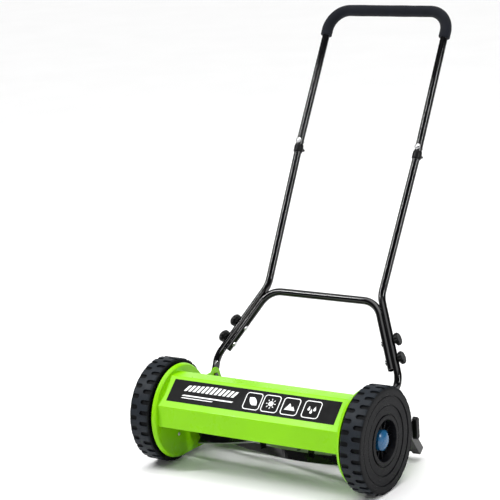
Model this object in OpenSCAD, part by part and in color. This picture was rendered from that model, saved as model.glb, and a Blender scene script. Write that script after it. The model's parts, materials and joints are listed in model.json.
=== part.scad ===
// Push reel mower: two ground wheels drive a five-blade reel through internal
// gears, a bed knife shears the grass, and two rollers behind set the height.
// X runs along the axle, -Y is the front, +Z is up.
// The origin is on the ground, midway between the wheels and between the
// front of the tyres and the back of the grip.

/* [Wheels] */
// Outside diameter over the tread
wheel_d = 215; // [211:1:219]
// Width of a wheel
wheel_w = 44; // [42:1:46]
// Distance from the middle of the mower to the outer face of a wheel
wheel_face_x = 271; // [269:1:273]
// Slots in each row of the tread
slot_count = 30; // [24:1:34]
// Width of one tread slot
slot_w = 9.5; // [7:0.5:11]
// Depth of one tread slot
slot_depth = 3.6; // [2:0.2:4.4]

/* [Reel] */
// Radius of the circle that the blade edges run on
reel_r = 60; // [59:0.25:60]
// Distance from the middle to the end of a blade
blade_half_len = 199; // [190:1:200]
// Width of a blade along the radius
blade_w = 19; // [15:1:21]
// Thickness of a blade
blade_t = 2.6; // [2:0.1:3]
// Turn of a blade from one end to the other, in degrees
blade_twist = 84; // [60:1:95]
// Radius of the reel shaft
shaft_r = 7; // [6:0.25:7]

/* [Side plates] */
// Radius of the round part over its rolled rim
disc_r = 99; // [97:0.5:99]
// Inner face of each side plate, from the middle
plate_x = 213; // [212:0.5:213]
// Thickness of the steel sheet
sheet_t = 2; // [1.5:0.1:2]

/* [Handle] */
// Slope of the handle above the horizontal
handle_slope = 58.5; // [50:0.5:65]
// Diameter of the handle tubes
tube_d = 16; // [15:0.5:16]
// Wall of the handle tubes
tube_wall = 1.2; // [1:0.1:2]
// Diameter of the foam grip
grip_d = 25; // [22:0.5:28]
// Length of the handle from its pivot to the middle of the top bar
handle_len = 849; // [800:1:900]

/* [Rollers] */
// Diameter of a roller
roller_d = 52; // [48:1:52]
// Length of a roller
roller_len = 98; // [80:1:100]
// Diameter of the bracket tube
bracket_d = 18; // [16:1:18]

/* [Hidden] */
$fn = 64;
HULL_FN = 32;
EPS = 0.01;
BIG = 400;
RUN_FIT = 0.05;

// Internal gear in each wheel and the pinion that it turns
gear_module = 2;
ring_teeth = 92;
pinion_teeth = 13;

wheel_r = wheel_d / 2;
wheel_in_x = wheel_face_x - wheel_w;
tyre_seat_r = wheel_r - 7;

// Reel and gear places, from the axle, as [Y, Z]
gear_distance = (ring_teeth - pinion_teeth) * gear_module / 2;
reel_dir = -27;
reel_c = gear_distance * [cos(reel_dir), sin(reel_dir)];
blade_phase = 286;
blade_count = 5;
end_disc_x = 190;
spider_x = 62.5;

// Bolt places on the side plates, from the axle, as [Y, Z]
pivot_c = [127, 38];
knife_pivot_c = [106, -35];
knife_clamp_c = [150, -35];
height_c = [138, -13];
catcher_c = [146, 14];
roller_c = [190, roller_d / 2 - wheel_r];
rivet_ring_r = 49;
rivet_angles = [-111.4, 8.6, 128.6];
cover_rivets = [[-76, 12], [-14, 74]];

plate_out_x = plate_x + sheet_t;
height_dir = (roller_c - height_c) / norm(roller_c - height_c);

// Handle plane: X, and the distance from the pivot up the slope. A leg leaves its
// foot at leg_foot, leans inwards by low_turn and is turned back by high_turn.
tube_r = tube_d / 2;
bore_r = tube_r - tube_wall;
bend_r = 60;
leg_foot = [219, 32];
low_turn = 26.4;
high_turn = 27.8;
leg_run = 154.2;
upper_run = 298.6;
leg_origin = leg_foot + bend_r * [cos(low_turn) - 1, sin(low_turn)];
flat_gap = 0.05;
brace_gap = 11;
brace_bend_r = 50;
brace_top = 198.5;
brace_start = 7.5;
brace_bolt_at = [25.9, 67.4];
grip_x = 145.5;
joint_at = 524;
grip_low_at = 788;
top_bend_r = 47;

// Middle of the wheelbase, so that the origin is midway front to back
rear_y = pivot_c[0] + handle_len * cos(handle_slope) + grip_d / 2;
axle_y = -(rear_y - wheel_r) / 2;

// ---- Placing ----

module at_axle() {
  translate([0, axle_y, wheel_r]) children();
}

// A part drawn along +Z is laid along +X, starting at x, about the point c = [Y, Z]
module along_x(x, c = [0, 0]) {
  at_axle() translate([x, c[0], c[1]]) rotate([90, 0, 90]) children();
}

// A right-hand part is drawn again on the left
module left() {
  mirror([1, 0, 0]) children();
}

module both_sides() {
  children();
  left() children();
}

// The handle's plane: local X is the mower's X and local Y runs up the slope
module in_handle_plane() {
  at_axle() translate([0, pivot_c[0], pivot_c[1]]) rotate([handle_slope, 0, 0]) children();
}

// ---- Shapes ----

// Two circles and the band between them, its flanks just inside their tangents
module link_2d(a, ra, b, rb) {
  inside = 0.03;
  run = norm(b - a);
  turn = acos((ra - rb) / run);
  dir = atan2(b[1] - a[1], b[0] - a[0]);
  translate(a) circle(ra);
  translate(b) circle(rb);
  polygon([
    a + (ra - inside) * [cos(dir + turn), sin(dir + turn)],
    a + (ra - inside) * [cos(dir - turn), sin(dir - turn)],
    b + (rb - inside) * [cos(dir - turn), sin(dir - turn)],
    b + (rb - inside) * [cos(dir + turn), sin(dir + turn)]
  ]);
}

// A round bar of length h with a hole of radius hole_r
module ring(h, r, hole_r) {
  difference() {
    cylinder(h = h, r = r);
    translate([0, 0, -1]) cylinder(h = h + 2, r = hole_r);
  }
}

// A round bar from point a to point b
module bar(a, b, r) {
  run = b - a;
  translate(a) rotate([0, acos(run[2] / norm(run)), atan2(run[1], run[0])]) cylinder(h = norm(run), r = r);
}

// A hexagon nut or bolt head, measured across its corners
module hexagon(h, corner_r) {
  cylinder(h = h, r = corner_r, $fn = 6);
}

// A domed bolt head: a short drum under a rounded top
module domed_head(r, h) {
  rotate_extrude() intersection() {
    translate([0, h - r * 1.6]) circle(r * 1.6);
    square([r, h]);
  }
}

// Points of a path whose corners are rounded to radius r, as [x, y]
function unit(v) = v / norm(v);
function corner_arc(p, q, s, r, n) =
  let (
    u = unit(p - q),
    w = unit(s - q),
    half = acos(u * w) / 2,
    centre = q + unit(u + w) * r / sin(half),
    from = q + u * r / tan(half) - centre,
    to = q + w * r / tan(half) - centre,
    a0 = atan2(from[1], from[0]),
    turn = (atan2(to[1], to[0]) - a0 + 540) % 360 - 180
  )
  [for (i = [0:n]) centre + r * [cos(a0 + turn * i / n), sin(a0 + turn * i / n)]];
function rounded_path(pts, r, n = 6) =
  let (last = len(pts) - 1)
  [for (i = [0:last]) each (i == 0 || i == last ? [pts[i]] : corner_arc(pts[i - 1], pts[i], pts[i + 1], r, n))];

// The same path moved sideways by d
function side_dir(pts, i) =
  let (
    last = len(pts) - 1,
    back = unit(pts[max(i, 1)] - pts[max(i, 1) - 1]),
    ahead = unit(pts[min(i, last - 1) + 1] - pts[min(i, last - 1)]),
    mean = unit(back + ahead)
  )
  [-mean[1], mean[0]] / (mean * back);
function moved_path(pts, d) = [for (i = [0:len(pts) - 1]) pts[i] + d * side_dir(pts, i)];

// A bent sheet's cross-section: its outside follows pts and it is t thick
module sheet_2d(pts, r, t) {
  path = rounded_path(pts, r);
  inner = moved_path(path, -t);
  polygon(concat(path, [for (i = [len(inner) - 1:-1:0]) inner[i]]));
}

// A tube of length h along +X, and the same tube turned to the left or the right
module tube_run(h, r, hole_r) {
  rotate([0, 90, 0]) ring(h, r, hole_r);
}
module left_bend(turn, turn_r) {
  translate([0, turn_r, 0]) rotate([0, 0, -90]) rotate_extrude(angle = turn) translate([turn_r, 0]) children();
}
module right_bend(turn, turn_r) {
  mirror([0, 1, 0]) left_bend(turn, turn_r) children();
}
module tube_2d(r, hole_r) {
  difference() {
    circle(r);
    circle(hole_r);
  }
}

// What follows a bend to the left or the right
module after_left(turn, turn_r) {
  translate([0, turn_r, 0]) rotate([0, 0, turn]) translate([0, -turn_r, 0]) children();
}
module after_right(turn, turn_r) {
  translate([0, -turn_r, 0]) rotate([0, 0, -turn]) translate([0, turn_r, 0]) children();
}

// A thin weld band over the joint between two lengths of tube
module weld() {
  translate([-0.4, 0, 0]) tube_run(0.8, tube_r + 0.04, bore_r - 0.04);
}

// Outline of a gear with involute flanks; thick is the share of the pitch a tooth fills
PRESSURE = 20;
function involute(a) = tan(a) * 180 / PI - a;
function tooth_half(z, r, thick) =
  let (pitch_r = z * gear_module / 2, base_r = pitch_r * cos(PRESSURE))
  180 * thick / z + involute(PRESSURE) - (r > base_r ? involute(acos(base_r / r)) : 0);
function polar(r, a) = [r * cos(a), r * sin(a)];
module gear_2d(z, root_r, tip_r, thick) {
  mid_r = z * gear_module / 2;
  radii = [root_r, mid_r, tip_r];
  polygon([for (i = [0:z - 1]) each concat(
    [for (r = radii) polar(r, 360 * i / z - tooth_half(z, r, thick))],
    [for (j = [2:-1:0]) polar(radii[j], 360 * i / z + tooth_half(z, radii[j], thick))]
  )]);
}

// ---- Frame ----

// Outline of a side plate as [Y, Z], drawn in by the distance inset
module plate_outline(inset = 0) {
  low = [100, -74];
  rear = [148, -30];
  low_r = 22 - inset;
  rear_r = 20 - inset;
  body_r = disc_r - 5 - inset;
  link_2d([0, 0], body_r, low, low_r);
  link_2d(low, low_r, rear, rear_r);
  link_2d(rear, rear_r, pivot_c + [0, 1], 18 - inset);
  polygon([[0, 60], [82, 50 - inset], [112, 50 - inset], pivot_c, rear, low, [0, 0]]);
}

// Rolled rim of the round part, flared outwards, left off where the tail begins
module plate_rim() {
  difference() {
    rotate_extrude() polygon([[disc_r - 8, 0.4], [disc_r - 4.2, 0.4], [disc_r - 1.6, 4], [disc_r, 8],
      [disc_r - 2, 8], [disc_r - 3.5, 4.6], [disc_r - 5.4, 1.6], [disc_r - 8, 1.6]]);
    translate([0, 0, -1]) linear_extrude(20) polygon([[0, 0], [BIG, 235], [BIG, -BIG], [100, -BIG]]);
  }
}

module side_plate() {
  tail_rim_h = 7;
  color("yellowgreen") difference() {
    union() {
      along_x(plate_x) linear_extrude(sheet_t) plate_outline();
      along_x(plate_x) plate_rim();
      along_x(plate_x + 0.4) linear_extrude(tail_rim_h - 0.4) difference() {
        plate_outline(0.1);
        plate_outline(sheet_t);
        circle(disc_r);
        translate(pivot_c + [-18, 29]) square([92, 94], center = true);
      }
    }
    along_x(plate_x - 1) cylinder(h = 10, r = 8);
    along_x(plate_x - 1, reel_c) cylinder(h = 10, r = 12);
    along_x(plate_x - 1, pivot_c) cylinder(h = 10, r = 4);
    along_x(plate_x - 1, knife_pivot_c) cylinder(h = 10, r = 4);
    along_x(plate_x - 1, knife_clamp_c) cylinder(h = 10, r = 3);
    along_x(plate_x - 1, height_c) cylinder(h = 10, r = 4);
    along_x(plate_x - 1, catcher_c) cylinder(h = 10, r = 3.25);
    for (a = rivet_angles) along_x(plate_x - 1, polar(rivet_ring_r, a)) cylinder(h = 10, r = 2);
    for (p = cover_rivets) along_x(plate_x - 1, p) cylinder(h = 10, r = 2);
  }
}

module side_plate_left() { left() side_plate(); }
module side_plate_right() { side_plate(); }

// Corners of the front cover's outside, from its lower front edge over the top, as [Y, Z]
cover_path = [[-87, -8], [-85, 36], [-31, 85.5], [6, 84.5], [10, 62], [15, 58]];
module front_cover() {
  tab = 1.2;
  color("yellowgreen") difference() {
    union() {
      along_x(-plate_x) linear_extrude(2 * plate_x) sheet_2d(cover_path, 3.5, 1.5);
      both_sides() {
        along_x(plate_x - tab) linear_extrude(tab) translate([-86, 0]) square([18, 24]);
        along_x(plate_x - tab) linear_extrude(tab) translate([-26, 66]) square([24, 18.2]);
      }
    }
    both_sides() for (p = cover_rivets) along_x(plate_x - 3, p) cylinder(h = 10, r = 2);
  }
}

// Flat panel on the sloping face of the cover
module cover_panel() {
  low = cover_path[1];
  high = cover_path[2];
  slope = atan2(high[1] - low[1], high[0] - low[0]);
  face_len = norm(high - low);
  color("black") along_x(-198, low) rotate([0, 0, slope])
    translate([0.2 * face_len, 0, 0]) cube([0.7 * face_len, 0.5, 396]);
}

module cover_rivets() {
  color("silver") both_sides() for (p = cover_rivets) {
    along_x(plate_x - 3.4, p) cylinder(h = sheet_t + 3.4, r = 2);
    along_x(plate_out_x, p) domed_head(4, 1.8);
    along_x(plate_x - 3, p) cylinder(h = 1.8, r = 3.6);
  }
}

// Stub axle on a round plate that is riveted outside the side plate
stub_end_x = wheel_in_x + 32;
groove_x = wheel_in_x + 28.5;
module axle() {
  color("silver") difference() {
    union() {
      along_x(plate_out_x) cylinder(h = 2.5, r = 54);
      along_x(plate_x) cylinder(h = sheet_t + 1, r = 8);
      along_x(plate_out_x) cylinder(h = stub_end_x - plate_out_x, r = 8 - RUN_FIT);
      along_x(plate_out_x) cylinder(h = wheel_in_x + 1.5 - plate_out_x, r = 13);
    }
    along_x(groove_x) ring(1.4, 12, 6.5);
    for (a = rivet_angles) along_x(plate_x, polar(rivet_ring_r, a)) cylinder(h = 10, r = 2);
  }
}
module axle_left() { left() axle(); }
module axle_right() { axle(); }

module axle_rivets() {
  color("silver") both_sides() for (a = rivet_angles) {
    along_x(plate_x, polar(rivet_ring_r, a)) cylinder(h = sheet_t + 2.5, r = 2);
    along_x(plate_x, polar(rivet_ring_r, a)) mirror([0, 0, 1]) domed_head(4, 1.8);
    along_x(plate_out_x + 2.5, polar(rivet_ring_r, a)) domed_head(4, 1.8);
  }
}

// Clips in the stub axle grooves that keep the wheels on
module axle_clips() {
  color("dimgray") both_sides() along_x(groove_x) difference() {
    ring(1.4, 11, 6.5);
    translate([0, -2.5, -1]) cube([20, 5, 4]);
  }
}

// Flanged bush that carries the reel shaft
module reel_bearing() {
  color("darkgray") along_x(plate_x - 2, reel_c) difference() {
    union() {
      cylinder(h = 11, r = 12);
      translate([0, 0, 2 + sheet_t]) cylinder(h = 2.5, r = 18);
    }
    translate([0, 0, -1]) cylinder(h = 20, r = shaft_r + RUN_FIT);
  }
}
module reel_bearing_left() { left() reel_bearing(); }
module reel_bearing_right() { reel_bearing(); }

// ---- Reel ----

pinion_x = wheel_in_x + 2.5;
pinion_w = 13;
shaft_end_x = pinion_x + pinion_w + 3;
pawl_len = 7;
module reel_shaft() {
  color("dimgray") difference() {
    along_x(-shaft_end_x, reel_c) cylinder(h = 2 * shaft_end_x, r = shaft_r);
    both_sides() {
      along_x(pinion_x + 3, reel_c) translate([-2, -shaft_r - 1, 0]) cube([4, 2 * shaft_r + 2, pawl_len]);
      along_x(pinion_x + pinion_w + 0.5, reel_c) ring(1.1, 12, shaft_r - 1);
    }
  }
}

// Helical blade number i, a strip that winds about the shaft
module reel_blade(i) {
  color("dimgray") along_x(-blade_half_len, reel_c)
    rotate([0, 0, blade_phase + blade_twist + 360 * i / blade_count])
      linear_extrude(2 * blade_half_len, twist = blade_twist, slices = 60, $fn = 4)
        translate([reel_r - blade_w, -blade_t / 2]) square([blade_w, blade_t]);
}
module reel_blade_1() { reel_blade(0); }
module reel_blade_2() { reel_blade(1); }
module reel_blade_3() { reel_blade(2); }
module reel_blade_4() { reel_blade(3); }
module reel_blade_5() { reel_blade(4); }

// Angle of blade i where it passes x
function blade_angle(i, x) =
  blade_phase + 360 * i / blade_count + blade_twist * (blade_half_len - x) / (2 * blade_half_len);

// A notched disc or star that carries the blades at x, with a hub on the shaft
module blade_holder(x, t, rim_r, arm_w, hub_len) {
  notch_w = blade_t + 1.2;
  color("dimgray") along_x(x, reel_c) difference() {
    union() {
      if (arm_w == 0) cylinder(h = t, r = rim_r);
      else for (i = [0:blade_count - 1]) rotate([0, 0, blade_angle(i, x + t / 2)]) translate([0, -arm_w / 2, 0]) cube([rim_r, arm_w, t]);
      cylinder(h = hub_len, r = 13);
    }
    for (i = [0:blade_count - 1]) rotate([0, 0, blade_angle(i, x + t / 2)])
      translate([reel_r - blade_w + 0.05, -notch_w / 2, -1]) cube([40, notch_w, t + 2]);
    translate([0, 0, -1]) cylinder(h = hub_len + 2, r = shaft_r);
  }
}
module reel_end_left() { blade_holder(-end_disc_x - 3, 3, 50, 0, 3); }
module reel_end_right() { blade_holder(end_disc_x, 3, 50, 0, 3); }
module reel_spider_left() { blade_holder(-spider_x - 3, 3, 48, 20, 3); }
module reel_spider_right() { blade_holder(spider_x, 3, 48, 20, 3); }

module thrust_washers() {
  color("silver") both_sides() along_x(203, reel_c) ring(7.6, 10.5, shaft_r);
}

// Sliding keys in the shaft ends that drive the pinions one way
module drive_pawls() {
  color("silver") both_sides() along_x(pinion_x + 3.2, reel_c)
    translate([-2, -shaft_r + 0.6, 0]) cube([4, 2 * shaft_r - 1.2, pawl_len - 0.4]);
}

module pinion_clips() {
  color("dimgray") both_sides() along_x(pinion_x + pinion_w + 0.5, reel_c) difference() {
    ring(1.1, 10, shaft_r - 1);
    translate([0, -2, -1]) cube([20, 4, 4]);
  }
}

// Pinion with three ratchet notches inside for the key
module pinion() {
  color("gray") along_x(pinion_x, reel_c) difference() {
    linear_extrude(pinion_w) rotate(reel_dir)
      gear_2d(pinion_teeth, 10.4, 14.4, 0.4);
    translate([0, 0, -1]) cylinder(h = pinion_w + 2, r = shaft_r + RUN_FIT);
    for (a = [30, 150, 270]) rotate([0, 0, a]) translate([shaft_r - 0.5, -1.6, 2]) cube([2.2, 3.2, pinion_w - 4]);
  }
}
module pinion_left() { left() pinion(); }
module pinion_right() { pinion(); }

// ---- Wheels ----

// Depth below the outer face against radius, for the moulded rings on the face
face_steps = [[96, 0], [90, 0], [89.5, 1.8], [87.5, 1.8], [87, 0.9], [71, 0.9], [70.5, 2.6], [68.5, 2.6],
  [68, 1.8], [53, 1.8], [52.5, 3.4], [50.5, 3.4], [50, 0.8], [42, 0.8], [38.5, 13], [37.5, 16]];
module wheel() {
  face = wheel_w;
  wall = 3;
  floor_z = face - 16;
  color("darkslategray") along_x(wheel_in_x) difference() {
    union() {
      rotate_extrude() polygon(concat(
        [[tyre_seat_r, 0], [tyre_seat_r, face]],
        [for (s = face_steps) [s[0], face - s[1]]],
        [[9, floor_z], [9, floor_z - wall], [40, floor_z - wall], [44, face - 5.5], [94, face - 5.5], [96, face - 8], [96, 0]]
      ));
      translate([0, 0, 2]) cylinder(h = floor_z - 2, r = 14);
      translate([0, 0, 3]) linear_extrude(14) difference() {
        circle(97);
        rotate(reel_dir) gear_2d(ring_teeth, 90.6, 94.6, 0.6);
      }
      for (a = [0:40:320]) rotate([0, 0, a + 20]) translate([43, -1.25, 22]) cube([52, 2.5, face - 27]);
      for (a = [0:30:330]) rotate([0, 0, a]) translate([23, -1.2, floor_z - 1]) cube([15.5, 2.4, 6]);
    }
    translate([0, 0, -1]) cylinder(h = face + 2, r = 8);
  }
}
module wheel_left() { left() wheel(); }
module wheel_right() { wheel(); }

// Moulded tread ring with two rows of slots, half a pitch apart
module tyre() {
  shoulder = 3;
  rib_half = 3;
  slot_r = slot_w / 2;
  slot_len = wheel_w / 2 - rib_half - slot_r;
  color("dimgray") along_x(wheel_in_x) difference() {
    rotate_extrude() polygon([[tyre_seat_r, 0], [wheel_r - shoulder, 0], [wheel_r, shoulder],
      [wheel_r, wheel_w - shoulder], [wheel_r - shoulder, wheel_w], [tyre_seat_r, wheel_w]]);
    for (i = [0:slot_count - 1], row = [0, 1])
      rotate([0, 0, (i + row / 2) * 360 / slot_count]) translate([wheel_r - slot_depth, 0, row * wheel_w])
        rotate([0, 90, 0]) linear_extrude(10) {
          translate([row == 0 ? -slot_len : slot_len, 0]) circle(slot_r);
          translate([row == 0 ? -slot_len : -1, -slot_r]) square([slot_len + 1, slot_w]);
        }
  }
}
module tyre_left() { left() tyre(); }
module tyre_right() { tyre(); }

// Hollow domed cap over the end of the stub axle
module hub_cap() {
  cap_r = 20.5;
  dome_h = 8;
  skirt_h = 9;
  dome_r = (cap_r * cap_r + dome_h * dome_h) / (2 * dome_h);
  color("steelblue") along_x(wheel_in_x + wheel_w - 16) rotate_extrude() difference() {
    union() {
      square([cap_r, skirt_h]);
      intersection() {
        translate([0, skirt_h + dome_h - dome_r]) circle(dome_r, $fn = 128);
        square([cap_r, skirt_h + dome_h]);
      }
    }
    square([cap_r - 2.5, skirt_h]);
  }
}
module hub_cap_left() { left() hub_cap(); }
module hub_cap_right() { hub_cap(); }

// ---- Bed knife ----

ear_x = plate_x - 5;
carrier_path = [[97, -95.1], [116, -93.2], [131, -82], [149, -64], [162, -53], [167, -55]];
module knife_carrier() {
  ear_t = 2;
  color("yellowgreen") difference() {
    union() {
      along_x(-ear_x) linear_extrude(2 * ear_x) sheet_2d(carrier_path, 3, 2);
      both_sides() along_x(ear_x - EPS) linear_extrude(ear_t + EPS) {
        link_2d(knife_pivot_c, 10, ear_low, 12);
        link_2d(ear_low, 12, ear_rear, 8);
        link_2d(ear_rear, 8, knife_clamp_c, 9);
        link_2d(knife_pivot_c, 10, knife_clamp_c, 9);
      }
    }
    both_sides() {
      along_x(ear_x - 1, knife_pivot_c) cylinder(h = 10, r = 4 + RUN_FIT);
      along_x(ear_x - 1, knife_clamp_c) cylinder(h = 10, r = 5);
    }
    knife_seats() translate([0, 0, -10]) cylinder(h = 20, r = 2.5);
  }
}
ear_low = [106, -84];
ear_rear = [146, -62];

// Places of the knife's screws, on its top face and square to it
knife_tilt = 5.7;
module knife_seats() {
  for (x = [-170, -85, 0, 85, 170])
    translate([x, 0, 0]) at_axle() translate([0, 106, -91.2]) rotate([knife_tilt, 0, 0]) children();
}

// Hardened strip along the front of the carrier
module bed_knife() {
  color("silver") difference() {
    along_x(-205) linear_extrude(410) polygon([[91.1, -92.7], [113, -90.5], [113, -93.5], [92.5, -95.55]]);
    knife_seats() {
      translate([0, 0, -10]) cylinder(h = 20, r = 2.5);
      translate([0, 0, -1.5]) cylinder(h = 5, r = 4.5);
    }
  }
}

module knife_screws() {
  color("dimgray") knife_seats() {
    translate([0, 0, -1.5]) cylinder(h = 1.5, r = 4.5);
    translate([0, 0, -8]) cylinder(h = 7, r = 2.5);
    translate([0, 0, -8.3]) hexagon(3.2, 4.6);
  }
}

module carrier_pivot_bolts() {
  color("silver") both_sides() {
    along_x(ear_x - 4.6, knife_pivot_c) mirror([0, 0, 1]) translate([0, 0, -4.3]) domed_head(8, 4.3);
    along_x(ear_x - 1, knife_pivot_c) cylinder(h = plate_out_x + 6 - ear_x, r = 4);
    along_x(plate_out_x, knife_pivot_c) hexagon(4.5, 7.5);
  }
}

module carrier_clamp_bolts() {
  color("silver") both_sides() {
    along_x(ear_x - 5, knife_clamp_c) hexagon(3, 5.8);
    along_x(ear_x - 2, knife_clamp_c) cylinder(h = 1.6, r = 8);
    along_x(ear_x - 2, knife_clamp_c) cylinder(h = plate_out_x + 7 - ear_x, r = 3);
    along_x(plate_out_x, knife_clamp_c) hexagon(4, 5.8);
  }
}

// Coil springs on the height studs, each with a leg that reaches inwards over the carrier
module carrier_springs() {
  wire_r = 0.9;
  coil_in = 5.1;
  coil_x = 203.4;
  leg_y = coil_in + wire_r;
  knee = [coil_x - 1, leg_y, -9];
  color("dimgray") both_sides() {
    along_x(coil_x, height_c) rotate_extrude() polygon(concat([[coil_in, 0]],
      [for (i = [0:6]) [coil_in + (i % 2 == 0 ? 1.2 : 2 * wire_r), i * wire_r]], [[coil_in, 6 * wire_r]]));
    at_axle() translate([0, height_c[0], height_c[1]]) {
      bar([coil_x + 2, leg_y, 0], knee, wire_r);
      translate(knee) sphere(wire_r);
      bar(knee, [coil_x - 22, leg_y + 4, -17], wire_r);
    }
  }
}

// ---- Rollers ----

arm_x = wheel_in_x - 4 + bracket_d / 2;
arm_lead = 30;
height_travel = 20;
slot_half = 4.3;
arm_slope = atan2(height_dir[1], height_dir[0]);
module in_bracket_plane() {
  at_axle() translate([0, height_c[0], height_c[1]]) rotate([arm_slope, 0, 0]) children();
}

// Two slotted square arms and the round cross tube that the rollers turn on, welded
module roller_bracket() {
  r = bracket_d / 2;
  wall = 1.5;
  arm_len = norm(roller_c - height_c);
  bar_half = arm_x - r + wall;
  color("dimgray") in_bracket_plane() difference() {
    union() {
      translate([-bar_half, arm_len, 0]) rotate([0, 90, 0]) cylinder(h = 2 * bar_half, r = r - EPS);
      both_sides_local() translate([arm_x - r, -arm_lead, -r]) cube([2 * r, arm_len + arm_lead + r, 2 * r]);
    }
    translate([-bar_half + 2 * wall, arm_len, 0]) rotate([0, 90, 0]) cylinder(h = 2 * bar_half - 4 * wall, r = r - wall);
    both_sides_local() {
      translate([arm_x - r + wall, -arm_lead - 1, -r + wall])
        cube([2 * (r - wall), arm_len + arm_lead + r - wall + 1, 2 * (r - wall)]);
      translate([arm_x - 20, 0, 0]) rotate([90, 0, 90]) linear_extrude(40) {
        translate([-height_travel, 0]) circle(slot_half);
        circle(slot_half);
        translate([-height_travel, -slot_half]) square([height_travel, 2 * slot_half]);
      }
    }
  }
}
module both_sides_local() {
  children();
  mirror([1, 0, 0]) children();
}

roller_x = 67;
module roller() {
  r = roller_d / 2;
  axle_hole = bracket_d / 2 + RUN_FIT;
  color("dimgray") along_x(roller_x, roller_c) rotate_extrude() polygon([
    [axle_hole, 0], [16, 0], [18, 2], [r - 2, 2], [r, 5], [r, roller_len - 5], [r - 2, roller_len - 2],
    [18, roller_len - 2], [16, roller_len], [axle_hole, roller_len],
    [axle_hole, roller_len - 10], [r - 5, roller_len - 10], [r - 5, 10], [axle_hole, 10]
  ]);
}
module roller_left() { left() roller(); }
module roller_right() { roller(); }

module roller_washers() {
  color("silver") both_sides() for (x = [roller_x - 2.4, roller_x + roller_len + 0.4])
    along_x(x, roller_c) ring(2, 14, bracket_d / 2);
}

// Studs that the height knobs screw on, with a spacer outside the side plate
knob_seat_x = arm_x + bracket_d / 2 + 0.4;
module height_studs() {
  color("silver") both_sides() {
    along_x(201, height_c) cylinder(h = knob_seat_x + 11 - 201, r = 4);
    along_x(plate_x - 4, height_c) hexagon(4, 7.5);
    along_x(plate_out_x, height_c) ring(arm_x - bracket_d / 2 - plate_out_x - 0.4, 8, 4);
  }
}

module height_knob() {
  stem_h = 14.6;
  wing_t = 10;
  edge = 1.5;
  color("black") along_x(knob_seat_x, height_c) difference() {
    union() {
      cylinder(h = stem_h + 1, r = 6.4);
      translate([0, 0, stem_h]) linear_extrude(wing_t - edge) link_2d([0, 11], 7, [0, -22], 7);
      translate([0, 0, stem_h + wing_t - edge]) linear_extrude(edge) link_2d([0, 11], 5.6, [0, -22], 5.6);
    }
    translate([0, 0, -1]) cylinder(h = 14, r = 4 + RUN_FIT);
  }
}
module height_knob_left() { left() height_knob(); }
module height_knob_right() { height_knob(); }

// ---- Handle ----

end_x = plate_out_x + 0.4;
end_t = 4;
module handle_pivot_bolts() {
  color("black") both_sides() {
    along_x(plate_x - 3, pivot_c) hexagon(3, 7.5);
    along_x(plate_x - 1, pivot_c) cylinder(h = end_x + end_t + 8.4 - plate_x, r = 4);
    along_x(end_x + end_t + 0.4, pivot_c) hexagon(5, 8);
    along_x(end_x + end_t + 5.4, pivot_c) domed_head(6, 2.6);
  }
}

// Along the leaning leg: local X runs up the tube and local Y points inwards
module leg_frame() {
  in_handle_plane() translate([leg_origin[0], leg_origin[1], 0]) rotate([0, 0, 90 + low_turn]) children();
}

// Cross-section of a tube flattened on its +X side, where the two tubes lie together
flat_at = brace_gap / 2 - flat_gap;
module d_2d(r, flat) {
  intersection() {
    circle(r);
    translate([flat - BIG, -BIG / 2]) square(BIG);
  }
}
module d_tube_2d() {
  difference() {
    d_2d(tube_r, flat_at);
    d_2d(bore_r, flat_at - tube_wall);
  }
}

// Hole for a brace bolt at k along the leg, square to both tubes, pointing outwards
module across_leg(k) {
  leg_frame() translate([k, brace_gap / 2, 0]) rotate([90, 0, 0]) children();
}

// All that lies beyond the flat, on its outward side
module beyond(flat) {
  translate([-BIG / 2, flat - BIG, -BIG / 2]) cube(BIG);
}

module lower_tube() {
  shade = 0.15;
  swage = 6;
  foot_r = 11;
  flat_len = 21;
  color("black") difference() {
    union() {
      in_handle_plane() {
        translate([end_x, 0, 0]) rotate([90, 0, 90]) linear_extrude(end_t) {
          circle(foot_r);
          translate([0, -foot_r]) square([flat_len, 2 * foot_r]);
        }
        hull() {
          translate([end_x, flat_len - 1, -foot_r]) cube([end_t, 1, 2 * foot_r]);
          translate([leg_foot[0], leg_foot[1] + 0.6, 0]) rotate([90, 0, 0])
            cylinder(h = 1, r = tube_r - shade, $fn = HULL_FN);
        }
      }
      leg_frame() {
        mirror([1, 0, 0]) left_bend(low_turn, bend_r) tube_2d(tube_r, bore_r);
        hull() {
          translate([-0.6, 0, 0]) rotate([0, 90, 0]) cylinder(h = 0.5, r = tube_r - shade, $fn = HULL_FN);
          translate([swage, 0, 0]) rotate([90, 0, 90]) linear_extrude(0.6) d_2d(tube_r - shade, flat_at - shade, $fn = HULL_FN);
        }
        translate([swage, 0, 0]) rotate([90, 0, 90]) linear_extrude(leg_run - swage) d_tube_2d();
        translate([leg_run, 0, 0]) {
          difference() {
            intersection() {
              right_bend(high_turn, bend_r) circle(tube_r);
              beyond(flat_at);
            }
            intersection() {
              right_bend(high_turn, bend_r) circle(bore_r);
              beyond(flat_at - tube_wall);
            }
          }
          after_right(high_turn, bend_r) {
            weld();
            tube_run(upper_run, tube_r, bore_r);
          }
        }
      }
    }
    along_x(end_x - 1, pivot_c) cylinder(h = end_t + 2, r = 4 + RUN_FIT);
    for (k = brace_bolt_at) across_leg(k) cylinder(h = 60, r = 3, center = true);
  }
}
module lower_tube_left() { left() lower_tube(); }
module lower_tube_right() { lower_tube(); }

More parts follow.
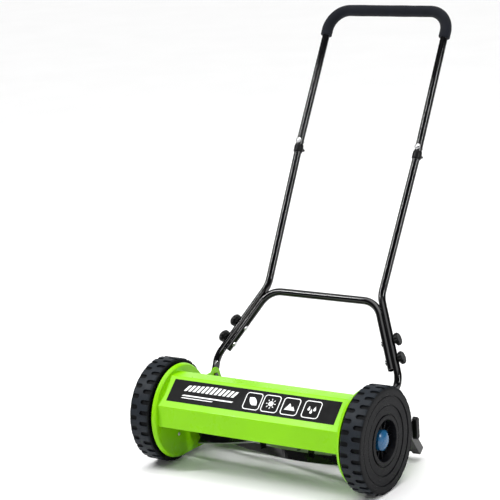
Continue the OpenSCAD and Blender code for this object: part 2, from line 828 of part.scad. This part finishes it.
// U-shaped brace bolted inside the two legs, its ends flattened against them
brace_turn = 90 - low_turn;
brace_run = (brace_top - leg_origin[1] + brace_gap * sin(low_turn)
  - brace_bend_r * (sin(low_turn + brace_turn) - sin(low_turn))) / cos(low_turn);
brace_end_x = leg_origin[0] - brace_run * sin(low_turn) - brace_gap * cos(low_turn) - brace_bend_r * cos(low_turn);
module handle_brace() {
  color("black") difference() {
    union() {
      in_handle_plane() translate([-brace_end_x, brace_top, 0]) tube_run(2 * brace_end_x, tube_r, bore_r);
      both_sides() leg_frame() translate([0, brace_gap, 0]) {
        translate([brace_start, 0, 0]) rotate([90, 0, 90]) linear_extrude(brace_run - brace_start)
          mirror([1, 0]) d_tube_2d();
        translate([brace_run, 0, 0]) {
          difference() {
            intersection() {
              left_bend(brace_turn, brace_bend_r) circle(tube_r);
              mirror([0, 1, 0]) beyond(flat_at);
            }
            intersection() {
              left_bend(brace_turn, brace_bend_r) circle(bore_r);
              mirror([0, 1, 0]) beyond(flat_at - tube_wall);
            }
          }
          after_left(brace_turn, brace_bend_r) weld();
        }
      }
    }
    both_sides() for (k = brace_bolt_at) across_leg(k) cylinder(h = 60, r = 3, center = true);
  }
}

// Round-headed bolts from the inside, through the brace and the lower tube
stack_half = brace_gap / 2 + tube_r;
module brace_bolts() {
  color("silver") both_sides() for (k = brace_bolt_at) across_leg(k) {
    translate([0, 0, -stack_half]) mirror([0, 0, 1]) domed_head(6, 3.2);
    translate([0, 0, -stack_half]) cylinder(h = 2 * stack_half + 9, r = 3);
  }
}

// Round knob with finger lobes round its edge
module brace_knob(k) {
  stem_h = 3.5;
  head_h = 8.5;
  head_r = 13.5;
  lobes = 10;
  color("black") across_leg(k) translate([0, 0, stack_half + 0.4]) difference() {
    union() {
      cylinder(h = stem_h, r1 = 7, r2 = 8.5);
      translate([0, 0, stem_h]) rotate_extrude() polygon([[0, 0], [head_r - 1.5, 0], [head_r, 1.5],
        [head_r, head_h - 2.5], [head_r - 2, head_h], [0, head_h]]);
    }
    for (i = [0:lobes - 1]) rotate([0, 0, 360 * i / lobes]) translate([head_r + 0.6, 0, stem_h - 1])
      cylinder(h = head_h + 2, r = 2.6);
    translate([0, 0, -1]) cylinder(h = 10.5, r = 3 + RUN_FIT);
  }
}
module brace_knob_left_low() { left() brace_knob(brace_bolt_at[0]); }
module brace_knob_left_high() { left() brace_knob(brace_bolt_at[1]); }
module brace_knob_right_low() { brace_knob(brace_bolt_at[0]); }
module brace_knob_right_high() { brace_knob(brace_bolt_at[1]); }

// Plastic collar where the upper handle meets a lower tube, with a small hook behind
module tube_coupler() {
  below = 10;
  above = 7;
  h = below + above;
  color("black") leg_frame() translate([leg_run, 0, 0]) after_right(high_turn, bend_r)
    translate([upper_run - below, 0, 0]) rotate([0, 90, 0]) difference() {
      union() {
        rotate_extrude() polygon([[0, 0], [9.4, 0], [10, 2], [10, h - 4], [9.2, h], [0, h]]);
        rotate([90, 0, 0]) translate([0, 0, -3]) linear_extrude(6) polygon([[8, 3], [21, 9], [22, 13], [8, 14]]);
      }
      translate([0, 0, -1]) cylinder(h = below + 1, r = tube_r + 0.02);
      translate([0, 0, below - 0.1]) cylinder(h = above + 2, r = tube_r + 0.6);
    }
}
module tube_coupler_left() { left() tube_coupler(); }
module tube_coupler_right() { tube_coupler(); }

coupler_bolt_at = joint_at + 15;
module coupler_bolts() {
  color("silver") in_handle_plane() both_sides_local() translate([grip_x, coupler_bolt_at, 0]) {
    translate([0, 0, tube_r - 0.6]) domed_head(6, 3.6);
    translate([0, 0, -tube_r - 3]) cylinder(h = 2 * tube_r + 3, r = 2.5);
    translate([0, 0, -tube_r - 3]) hexagon(3.6, 5);
  }
}

// The square U of the upper handle, from from_at up to the top bar
module upper_path(r, hole_r, from_at) {
  bar_half = grip_x - top_bend_r;
  in_handle_plane() {
    translate([-bar_half, handle_len, 0]) tube_run(2 * bar_half, r, hole_r);
    both_sides_local() {
      translate([bar_half, handle_len, 0]) right_bend(90, top_bend_r) tube_2d(r, hole_r);
      translate([grip_x, from_at, 0]) rotate([0, 0, 90]) tube_run(handle_len - top_bend_r - from_at, r, hole_r);
    }
  }
}

module upper_handle() {
  color("black") difference() {
    upper_path(tube_r, bore_r, joint_at);
    in_handle_plane() both_sides_local() translate([grip_x, coupler_bolt_at, 0]) {
      cylinder(h = 30, r = 2.5, center = true);
      translate([0, 0, tube_r - 0.6]) cylinder(h = 5, r = 6);
      translate([0, 0, -tube_r - 4]) cylinder(h = 4.6, r = 5);
    }
  }
}

module foam_grip() {
  color("midnightblue") upper_path(grip_d / 2, tube_r, grip_low_at);
}

side_plate_left();
side_plate_right();
front_cover();
cover_panel();
cover_rivets();
axle_left();
axle_right();
axle_rivets();
axle_clips();
reel_bearing_left();
reel_bearing_right();
reel_shaft();
reel_blade_1();
reel_blade_2();
reel_blade_3();
reel_blade_4();
reel_blade_5();
reel_end_left();
reel_end_right();
reel_spider_left();
reel_spider_right();
thrust_washers();
drive_pawls();
pinion_clips();
pinion_left();
pinion_right();
wheel_left();
wheel_right();
tyre_left();
tyre_right();
hub_cap_left();
hub_cap_right();
knife_carrier();
bed_knife();
knife_screws();
carrier_pivot_bolts();
carrier_clamp_bolts();
carrier_springs();
roller_bracket();
roller_left();
roller_right();
roller_washers();
height_studs();
height_knob_left();
height_knob_right();
handle_pivot_bolts();
lower_tube_left();
lower_tube_right();
handle_brace();
brace_bolts();
brace_knob_left_low();
brace_knob_left_high();
brace_knob_right_low();
brace_knob_right_high();
tube_coupler_left();
tube_coupler_right();
coupler_bolts();
upper_handle();
foam_grip();
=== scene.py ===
import json
import math

import bmesh
import bpy
from mathutils import Matrix, Vector


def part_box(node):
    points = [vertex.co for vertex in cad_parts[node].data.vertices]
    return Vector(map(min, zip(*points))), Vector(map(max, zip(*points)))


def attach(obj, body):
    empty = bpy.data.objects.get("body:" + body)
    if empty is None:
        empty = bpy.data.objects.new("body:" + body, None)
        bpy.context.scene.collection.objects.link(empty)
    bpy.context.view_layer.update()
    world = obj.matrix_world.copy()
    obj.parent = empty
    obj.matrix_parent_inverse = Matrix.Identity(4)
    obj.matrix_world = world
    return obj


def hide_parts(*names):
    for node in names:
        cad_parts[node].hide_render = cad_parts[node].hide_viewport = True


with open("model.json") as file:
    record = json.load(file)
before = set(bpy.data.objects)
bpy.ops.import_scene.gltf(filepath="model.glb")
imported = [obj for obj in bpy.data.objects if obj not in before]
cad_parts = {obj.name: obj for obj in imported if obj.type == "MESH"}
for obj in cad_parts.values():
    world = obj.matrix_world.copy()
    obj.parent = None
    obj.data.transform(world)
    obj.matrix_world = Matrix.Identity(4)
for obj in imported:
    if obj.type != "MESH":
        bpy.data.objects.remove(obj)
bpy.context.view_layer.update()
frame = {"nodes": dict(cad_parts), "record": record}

NODES = frame["nodes"]
SCENE = bpy.context.scene


# ---- Places, in metres, from the CAD nodes ----

def middle(node):
    low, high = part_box(node)
    return (low + high) / 2


AXLE = middle("tyre_right")
REEL = middle("reel_shaft")
MM = 0.001


# ---- Materials ----

def colour_ramp(nodes, stops):
    ramp = nodes.new("ShaderNodeValToRGB")
    ramp.color_ramp.elements[0].position = stops[0][0]
    ramp.color_ramp.elements[0].color = (*stops[0][1], 1)
    ramp.color_ramp.elements[1].position = stops[-1][0]
    ramp.color_ramp.elements[1].color = (*stops[-1][1], 1)
    for place, colour in stops[1:-1]:
        ramp.color_ramp.elements.new(place).color = (*colour, 1)
    return ramp


def shades(base, spread):
    """A darker and a lighter neighbour of a colour."""
    return [c * (1 - spread) for c in base], [min(1, c * (1 + spread) + 0.0005) for c in base]


class Surface:
    """One node-built material, made up in layers."""

    def __init__(self, name, base, rough, metal=0.0, coat=0.0, coat_rough=0.1, specular=0.5):
        self.material = bpy.data.materials.new(name)
        self.material.use_nodes = True
        self.tree = self.material.node_tree
        self.nodes = self.tree.nodes
        self.bsdf = self.nodes["Principled BSDF"]
        self.bsdf.inputs["Base Color"].default_value = (*base, 1)
        self.bsdf.inputs["Roughness"].default_value = rough
        self.bsdf.inputs["Metallic"].default_value = metal
        self.bsdf.inputs["Coat Weight"].default_value = coat
        self.bsdf.inputs["Coat Roughness"].default_value = coat_rough
        self.bsdf.inputs["Specular IOR Level"].default_value = specular
        self.place = self.nodes.new("ShaderNodeTexCoord").outputs["Object"]
        self.base = base
        self.normal = None

    def link(self, a, b):
        self.tree.links.new(a, b)

    def scaled(self, stretch):
        mapping = self.nodes.new("ShaderNodeMapping")
        mapping.inputs["Scale"].default_value = stretch
        self.link(self.place, mapping.inputs["Vector"])
        return mapping.outputs["Vector"]

    def noise(self, scale, detail=4.0, roughness=0.55, stretch=(1, 1, 1)):
        tex = self.nodes.new("ShaderNodeTexNoise")
        tex.inputs["Scale"].default_value = scale
        tex.inputs["Detail"].default_value = detail
        tex.inputs["Roughness"].default_value = roughness
        self.link(self.scaled(stretch), tex.inputs["Vector"])
        return tex.outputs["Fac"]

    def cells(self, scale, stretch=(1, 1, 1)):
        tex = self.nodes.new("ShaderNodeTexVoronoi")
        tex.inputs["Scale"].default_value = scale
        self.link(self.scaled(stretch), tex.inputs["Vector"])
        return tex.outputs["Distance"]

    def vary(self, scale, spread, **more):
        """Slow changes of shade over the surface."""
        dark, light = shades(self.base, spread)
        ramp = colour_ramp(self.nodes, [(0.3, dark), (0.7, light)])
        self.link(self.noise(scale, **more), ramp.inputs["Fac"])
        self.colour = ramp.outputs["Color"]
        self.link(self.colour, self.bsdf.inputs["Base Color"])
        return self

    def shine(self, scale, low, high, **more):
        """Roughness that wanders between two values."""
        spread = self.nodes.new("ShaderNodeMapRange")
        spread.inputs["From Min"].default_value = 0.3
        spread.inputs["From Max"].default_value = 0.7
        spread.inputs["To Min"].default_value = low
        spread.inputs["To Max"].default_value = high
        self.link(self.noise(scale, **more), spread.inputs["Value"])
        self.link(spread.outputs["Result"], self.bsdf.inputs["Roughness"])
        return self

    def soften(self, radius):
        """Edges that catch the light as if rounded."""
        node = self.nodes.new("ShaderNodeBevel")
        node.samples = 6
        node.inputs["Radius"].default_value = radius
        self.normal = node.outputs["Normal"]
        return self

    def bump(self, height, strength, distance):
        node = self.nodes.new("ShaderNodeBump")
        node.inputs["Strength"].default_value = strength
        node.inputs["Distance"].default_value = distance
        self.link(height, node.inputs["Height"])
        if self.normal:
            self.link(self.normal, node.inputs["Normal"])
        self.normal = node.outputs["Normal"]
        self.link(self.normal, self.bsdf.inputs["Normal"])
        return self

    def math(self, kind, a, b=None):
        node = self.nodes.new("ShaderNodeMath")
        node.operation = kind
        for socket, value in zip(node.inputs, (a, b)):
            if value is None:
                continue
            if isinstance(value, (int, float)):
                socket.default_value = value
            else:
                self.link(value, socket)
        return node.outputs[0]

    def distance_from(self, centre):
        """Distance from a line along X through centre."""
        parts = self.nodes.new("ShaderNodeSeparateXYZ")
        self.link(self.place, parts.inputs["Vector"])
        y = self.math("SUBTRACT", parts.outputs["Y"], centre[1])
        z = self.math("SUBTRACT", parts.outputs["Z"], centre[2])
        return self.math("SQRT", self.math("ADD", self.math("MULTIPLY", y, y), self.math("MULTIPLY", z, z)))

    def between(self, value, low, high):
        """0 below low and 1 above high."""
        node = self.nodes.new("ShaderNodeMapRange")
        node.inputs["From Min"].default_value = low
        node.inputs["From Max"].default_value = high
        self.link(value, node.inputs["Value"])
        return node.outputs["Result"]

    def overlay(self, mask, colour, rough=None, metal=None):
        """Another finish where mask is 1."""
        mix = self.nodes.new("ShaderNodeMix")
        mix.data_type = "RGBA"
        self.link(mask, mix.inputs["Factor"])
        self.link(self.colour, mix.inputs["A"])
        mix.inputs["B"].default_value = (*colour, 1)
        self.colour = mix.outputs["Result"]
        self.link(self.colour, self.bsdf.inputs["Base Color"])
        for name, value in (("Roughness", rough), ("Metallic", metal)):
            if value is None:
                continue
            socket = self.bsdf.inputs[name]
            blend = self.nodes.new("ShaderNodeMix")
            self.link(mask, blend.inputs["Factor"])
            if socket.is_linked:
                self.link(socket.links[0].from_socket, blend.inputs["A"])
            else:
                blend.inputs["A"].default_value = socket.default_value
            blend.inputs["B"].default_value = value
            self.link(blend.outputs["Result"], socket)
        return self


def powder_green(name):
    s = Surface(name, (0.225, 0.585, 0.0016), 0.36, coat=0.08, coat_rough=0.12, specular=0.14)
    s.vary(9, 0.05).shine(30, 0.24, 0.36).soften(2 * MM)
    s.bump(s.noise(900, detail=2), 0.12, 0.0002)
    s.bump(s.noise(14, detail=1), 0.05, 0.002)
    return s


def gloss_black(name, base=(0.0008, 0.0008, 0.0013)):
    s = Surface(name, base, 0.08, specular=0.4)
    s.vary(25, 0.25).shine(40, 0.06, 0.1)
    s.bump(s.noise(700, detail=2), 0.015, 0.0002)
    return s


def satin_plastic(name, base, low=0.42, high=0.58, grain=1400, depth=0.18):
    s = Surface(name, base, (low + high) / 2, specular=0.14)
    s.vary(18, 0.14).shine(45, low, high)
    s.bump(s.cells(grain), depth, 0.00015)
    s.bump(s.noise(60, detail=3), 0.04, 0.0006)
    return s


def zinc(name, base=(0.62, 0.62, 0.63), rough=(0.22, 0.38)):
    s = Surface(name, base, rough[0], metal=1.0)
    s.vary(60, 0.1, detail=6).shine(120, *rough)
    s.bump(s.noise(500, detail=4, stretch=(0.2, 1, 1)), 0.08, 0.0001)
    return s


def blackened(name):
    s = Surface(name, (0.03, 0.03, 0.032), 0.38, metal=0.85)
    s.vary(80, 0.3).shine(90, 0.3, 0.5)
    s.bump(s.noise(600), 0.1, 0.0001)
    return s


def reel_blade(name):
    """Black paint with a ground cutting edge and rubbed spots beside it."""
    s = gloss_black(name, (0.005, 0.005, 0.0055))
    out = s.distance_from(REEL)
    edge = s.between(s.math("ADD", out, s.math("MULTIPLY", s.noise(55, detail=5), 0.0012)), 0.0598, 0.0602)
    s.overlay(edge, (0.42, 0.42, 0.43), 0.3, 0.9)
    return s


def ground_steel(name):
    s = zinc(name, (0.34, 0.34, 0.35), (0.26, 0.42))
    s.bump(s.noise(300, detail=3, stretch=(0.05, 3, 3)), 0.15, 0.0001)
    return s


def wheel_face(name):
    """Moulded charcoal plastic with fine turned rings."""
    s = Surface(name, (0.0036, 0.0038, 0.0048), 0.33, specular=0.05)
    s.vary(14, 0.14).shine(30, 0.24, 0.36).soften(1 * MM)
    out = s.distance_from(AXLE)
    s.bump(s.math("SINE", s.math("MULTIPLY", out, 6000)), 0.03, 0.0001)
    s.bump(s.cells(1200), 0.14, 0.00015)
    return s


def tread(name):
    """Matt blue-grey tread, its slot floors and lower walls painted darker and rougher as painted shade."""
    s = Surface(name, (0.0115, 0.0148, 0.0195), 0.5, specular=0.14)
    s.vary(22, 0.16).shine(60, 0.42, 0.6).soften(1 * MM)
    out = s.distance_from(AXLE)
    # Painted shade: below the tread's top radius the slot floors and lower walls fade to near-black.
    low = s.math("SUBTRACT", 1, s.between(out, 0.1042, 0.1062))
    s.overlay(low, (0.004, 0.0045, 0.0055), 0.75)
    s.bump(s.cells(900), 0.2, 0.0002)
    s.bump(s.noise(200, detail=4), 0.1, 0.0003)
    return s


def blue_cap(name):
    s = Surface(name, (0.008, 0.085, 0.2), 0.2, specular=0.5)
    s.vary(30, 0.18).shine(50, 0.2, 0.32)
    s.bump(s.cells(1500), 0.08, 0.0001)
    return s


def foam(name):
    """Closed-cell foam: fine open pores and a faint bluish black."""
    s = Surface(name, (0.0045, 0.0055, 0.0095), 0.82, specular=0.15)
    s.vary(40, 0.25).shine(80, 0.78, 0.93)
    s.bump(s.cells(1500), 0.45, 0.0004)
    s.bump(s.noise(420, detail=5), 0.3, 0.0004)
    s.bump(s.noise(28, detail=2), 0.12, 0.0012)
    s.bsdf.inputs["Sheen Weight"].default_value = 0.08
    s.bsdf.inputs["Sheen Roughness"].default_value = 0.5
    return s


def print_white(name):
    s = Surface(name, (0.82, 0.83, 0.83), 0.42)
    s.vary(90, 0.03).shine(120, 0.36, 0.5)
    s.bump(s.noise(1500), 0.05, 0.00005)
    return s


def panel_film(name):
    s = Surface(name, (0.0015, 0.0015, 0.002), 0.3, specular=0.05)
    s.vary(20, 0.2).shine(45, 0.28, 0.42)
    s.bump(s.noise(800, detail=2), 0.05, 0.0001)
    return s


SURFACES = {
    "green_paint": powder_green("green_powder_coat").material,
    "panel_black": panel_film("panel_film").material,
    "zinc_steel": zinc("zinc_plate").material,
    "dark_steel": blackened("blackened_steel").material,
    "reel_paint": gloss_black("reel_black", (0.005, 0.005, 0.0055)).material,
    "blade_steel": reel_blade("blade_black_ground_edge").material,
    "knife_steel": ground_steel("knife_ground_steel").material,
    "wheel_plastic": wheel_face("wheel_charcoal").material,
    "tread_plastic": tread("tread_blue_grey").material,
    "cap_blue": blue_cap("cap_blue").material,
    "bracket_paint": gloss_black("bracket_black", (0.005, 0.0055, 0.0062)).material,
    "roller_plastic": satin_plastic("roller_black", (0.005, 0.0053, 0.0058)).material,
    "knob_plastic": satin_plastic("knob_black", (0.0035, 0.0035, 0.004), 0.3, 0.45).material,
    "tube_paint": gloss_black("tube_gloss_black").material,
    "grip_foam": foam("grip_foam").material,
}
WHITE = print_white("print_white").material

for part in frame["record"]["subparts"]:
    mesh = NODES[part["node"]].data
    mesh.materials.clear()
    mesh.materials.append(SURFACES[part["material_slot"]])


# ---- Pieces ----

def add_piece(name, bm, material, body):
    mesh = bpy.data.meshes.new(name)
    bm.to_mesh(mesh)
    bm.free()
    mesh.materials.append(material)
    piece = bpy.data.objects.new(name, mesh)
    SCENE.collection.objects.link(piece)
    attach(piece, body)
    return piece


def smooth(piece):
    for face in piece.data.polygons:
        face.use_smooth = True


def swept(path, radii, around=40):
    """A closed skin of rings along a path, with a radius at each point."""
    bm = bmesh.new()
    rings = []
    side = None
    for i, point in enumerate(path):
        ahead = (path[min(i + 1, len(path) - 1)] - path[max(i - 1, 0)]).normalized()
        side = ahead.orthogonal() if side is None else (side - ahead * side.dot(ahead))
        side.normalize()
        up = ahead.cross(side)
        ring = []
        for k in range(around):
            turn = 2 * math.pi * k / around
            ring.append(bm.verts.new(point + radii[i] * (math.cos(turn) * side + math.sin(turn) * up)))
        rings.append(ring)
    for a, b in zip(rings, rings[1:]):
        for k in range(around):
            bm.faces.new((a[k], a[(k + 1) % around], b[(k + 1) % around], b[k]))
    bm.faces.new(list(reversed(rings[0])))
    bm.faces.new(rings[-1])
    bmesh.ops.recalc_face_normals(bm, faces=bm.faces)
    return bm


def make_grip():
    """Foam sleeve: slightly swollen between its ends, with rolled lips and uneven stretch round the bends."""
    low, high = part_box("foam_grip")
    r = 12.5 * MM
    bend = 47 * MM
    slope = math.radians(58.5)
    up = Vector((0, math.cos(slope), math.sin(slope)))
    top = Vector((0, high.y, high.z)) - Vector((0, r, r))
    half = high.x - r
    leg = 14 * MM

    def bar_point(x, t):
        return top + Vector((x, 0, 0)) + up * t

    line = []
    steps = 12
    for side in (-1, 1):
        part = [bar_point(side * half, -bend - leg + leg * i / steps) for i in range(steps)]
        for i in range(steps * 2 + 1):
            turn = math.pi / 2 * i / (steps * 2)
            out = half - bend + bend * math.cos(turn)
            part.append(bar_point(side * out, -bend + bend * math.sin(turn)))
        line.append(part)
    count = 60
    inner = half - bend
    across = [bar_point(-inner + 2 * inner * i / count, 0) for i in range(1, count)]
    path = line[0] + across + list(reversed(line[1]))
    run = [0.0]
    for a, b in zip(path, path[1:]):
        run.append(run[-1] + (b - a).length)
    total = run[-1]
    radii = []
    for d in run:
        end = min(d, total - d)
        lip = 1 - max(0.0, 1 - end / (2.2 * MM)) ** 2 * 0.12
        swell = 0.985 + 0.013 * math.sin(d * 95) * math.sin(d * 31 + 1.1)
        radii.append(r * min(1.0, lip * swell))
    piece = add_piece("foam_grip_skin", swept(path, radii), SURFACES["grip_foam"], "handle")
    smooth(piece)
    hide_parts("foam_grip")
    return piece


make_grip()


# ---- Generic marks on the cover panel ----

def panel_marks():
    """Plain bars and framed leaf, sun, hill and rain shapes: no words and no signs."""
    verts = [v.co for v in NODES["cover_panel"].data.vertices]
    low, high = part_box("cover_panel")
    top = max(verts, key=lambda v: v.z)
    bottom = min((v for v in verts if v.y == min(w.y for w in verts)), key=lambda v: v.z)
    top_front = min((v for v in verts if abs(v.z - top.z) < 1e-5), key=lambda v: v.y)
    rise = Vector((0, top_front.y - bottom.y, top_front.z - bottom.z))
    tall = rise.length
    rise.normalize()
    out = Vector((0, -rise.z, rise.y))
    wide = high.x - low.x
    start = Vector((low.x, bottom.y, bottom.z)) + out * 0.02 * MM
    bm = bmesh.new()
    thick = 0.12 * MM

    def at(u, v, h=0.0):
        return start + Vector((u * wide, 0, 0)) + rise * (v * tall) + out * h

    def plate(points):
        """A thin raised shape with the outline points, as shares of the panel."""
        base = [bm.verts.new(at(u, v)) for u, v in points]
        roof = [bm.verts.new(at(u, v, thick)) for u, v in points]
        bm.faces.new(roof)
        bm.faces.new(list(reversed(base)))
        for i in range(len(points)):
            j = (i + 1) % len(points)
            bm.faces.new((base[i], base[j], roof[j], roof[i]))

    aspect = tall / wide

    def arc(cu, cv, r, a0, a1, n=14):
        return [(cu + r * aspect * math.cos(math.radians(a0 + (a1 - a0) * i / n)),
                 cv + r * math.sin(math.radians(a0 + (a1 - a0) * i / n))) for i in range(n + 1)]

    def rounded(cu, cv, w, h, r):
        corners = [(1, 1, 0), (-1, 1, 90), (-1, -1, 180), (1, -1, 270)]
        points = []
        for sx, sy, a in corners:
            points += arc(cu + sx * (w / 2 - r) * aspect, cv + sy * (h / 2 - r), r, a, a + 90, 6)
        return points

    def frame_ring(cu, cv, w, h, r, t):
        outer = rounded(cu, cv, w, h, r)
        inner = rounded(cu, cv, w - 2 * t, h - 2 * t, r - t)
        n = len(outer)
        o0 = [bm.verts.new(at(u, v)) for u, v in outer]
        o1 = [bm.verts.new(at(u, v, thick)) for u, v in outer]
        i0 = [bm.verts.new(at(u, v)) for u, v in inner]
        i1 = [bm.verts.new(at(u, v, thick)) for u, v in inner]
        for k in range(n):
            j = (k + 1) % n
            bm.faces.new((o1[k], o1[j], i1[j], i1[k]))
            bm.faces.new((o0[k], o0[j], o1[j], o1[k]))
            bm.faces.new((i0[j], i0[k], i1[k], i1[j]))
            bm.faces.new((o0[j], o0[k], i0[k], i0[j]))

    # A band of leaning bars, tallest in the middle, over two thin lines
    lean = 0.16 * aspect
    margin = 0.08
    pitch = 0.0262
    width = 0.0165
    foot = 0.53
    count = 12
    for i in range(count):
        left = margin + i * pitch
        height = 0.33 - 0.012 * abs(i - (count - 1) / 2)
        plate([(left, foot), (left + width, foot),
               (left + width + lean, foot + height), (left + lean, foot + height)])
    plate([(margin, 0.30), (0.385, 0.30), (0.395, 0.355), (0.09, 0.355)])
    plate([(margin, 0.20), (0.27, 0.20), (0.278, 0.235), (0.088, 0.235)])

    centres = [0.504, 0.612, 0.727, 0.85]
    frame_size = 0.76
    frame_round = 0.14
    frame_line = 0.035
    for c in centres:
        frame_ring(c, 0.5, frame_size, frame_size, frame_round, frame_line)
    # Leaf
    c = centres[0]
    leaf = arc(c - 0.16 * aspect, 0.34, 0.38, 0, 62) + arc(c + 0.2 * aspect, 0.66, 0.38, 180, 242)
    plate(leaf)
    # Sun
    c = centres[1]
    plate(arc(c, 0.5, 0.11, 0, 345, 22))
    for a in range(0, 360, 45):
        ca, sa = math.cos(math.radians(a)), math.sin(math.radians(a))
        plate([(c + aspect * (0.15 * ca - 0.016 * sa), 0.5 + 0.15 * sa + 0.016 * ca),
               (c + aspect * (0.15 * ca + 0.016 * sa), 0.5 + 0.15 * sa - 0.016 * ca),
               (c + aspect * (0.22 * ca + 0.016 * sa), 0.5 + 0.22 * sa - 0.016 * ca),
               (c + aspect * (0.22 * ca - 0.016 * sa), 0.5 + 0.22 * sa + 0.016 * ca)])
    # Hills
    c = centres[2]
    plate([(c - 0.24 * aspect, 0.34), (c + 0.24 * aspect, 0.34), (c + 0.12 * aspect, 0.52),
           (c + 0.06 * aspect, 0.46), (c - 0.06 * aspect, 0.64)])
    # Drops
    c = centres[3]
    for du, dv in ((-0.13, 0.03), (0.0, -0.09), (0.13, 0.03)):
        drop = arc(c + du * aspect, 0.47 + dv, 0.055, -200, 20, 10)
        plate(drop + [(c + du * aspect, 0.62 + dv)])
    bmesh.ops.recalc_face_normals(bm, faces=bm.faces)
    return add_piece("panel_marks", bm, WHITE, "frame")


panel_marks()


# ---- Floor, light and camera ----

def stage_floor():
    bm = bmesh.new()
    bmesh.ops.create_grid(bm, x_segments=2, y_segments=2, size=40)
    mesh = bpy.data.meshes.new("floor")
    bm.to_mesh(mesh)
    bm.free()
    s = Surface("floor_pale", (0.9, 0.9, 0.9), 0.8, specular=0.1)
    s.vary(3, 0.01).shine(5, 0.55, 0.65)
    mesh.materials.append(s.material)
    floor = bpy.data.objects.new("floor", mesh)
    SCENE.collection.objects.link(floor)


def area_light(name, place, aim, size, watts):
    light = bpy.data.lights.new(name, "AREA")
    light.shape = "RECTANGLE"
    light.size, light.size_y = size
    light.energy = watts
    lamp = bpy.data.objects.new(name, light)
    lamp.location = place
    lamp.rotation_mode = "QUATERNION"
    lamp.rotation_quaternion = (Vector(aim) - Vector(place)).to_track_quat("-Z", "Y")
    SCENE.collection.objects.link(lamp)


stage_floor()
area_light("key", (0.6, -2.9, 1.2), (0, -0.15, 0.2), (0.8, 0.5), 9)
area_light("strip_left", (-1.5, -1.3, 2.15), (0, 0, 0.5), (0.12, 1.0), 38)
area_light("strip_right", (2.2, -0.15, 1.45), (0, 0, 0.5), (0.12, 1.0), 24)
area_light("rear", (-1.95, 2.9, 1.15), (0, 0, 0.3), (3.0, 1.2), 15)

# Sky: bright overhead and dim near the horizon
world = bpy.data.worlds.new("studio")
world.use_nodes = True
sky = world.node_tree.nodes
place = sky.new("ShaderNodeTexCoord")
split = sky.new("ShaderNodeSeparateXYZ")
fade = sky.new("ShaderNodeMapRange")
fade.interpolation_type = "SMOOTHSTEP"
fade.inputs["From Min"].default_value = 0.75
fade.inputs["From Max"].default_value = 0.97
fade.inputs["To Min"].default_value = 0.09
fade.inputs["To Max"].default_value = 4.2
world.node_tree.links.new(place.outputs["Generated"], split.inputs[0])
world.node_tree.links.new(split.outputs["Z"], fade.inputs["Value"])
world.node_tree.links.new(fade.outputs["Result"], sky["Background"].inputs["Strength"])
sky["Background"].inputs["Color"].default_value = (1, 1, 1, 1)
SCENE.world = world
SCENE.view_settings.view_transform = "Standard"

# The photograph's viewpoint: azimuth, elevation and roll in degrees, distances in metres
AZIMUTH, ELEVATION, ROLL = (math.radians(a) for a in (33.77, 13.29, -3.44))
back = Vector((
    math.sin(AZIMUTH) * math.cos(ELEVATION),
    -math.cos(AZIMUTH) * math.cos(ELEVATION),
    math.sin(ELEVATION)))
level = Vector((math.cos(AZIMUTH), math.sin(AZIMUTH), 0))
rise = back.cross(level)
right = math.cos(ROLL) * level + math.sin(ROLL) * rise
above = -math.sin(ROLL) * level + math.cos(ROLL) * rise
eye = Vector((0, AXLE.y, AXLE.z)) + level * -0.01708 + rise * 0.3514 + back * 3.87133
camera = bpy.data.cameras.new("camera")
camera.sensor_width = 36
camera.lens = 138.07
camera.clip_start = 0.05
camera.clip_end = 60
eye_object = bpy.data.objects.new("camera", camera)
turn = Matrix((right, above, back)).transposed()
eye_object.matrix_world = Matrix.Translation(eye) @ turn.to_4x4()
SCENE.collection.objects.link(eye_object)
SCENE.camera = eye_object
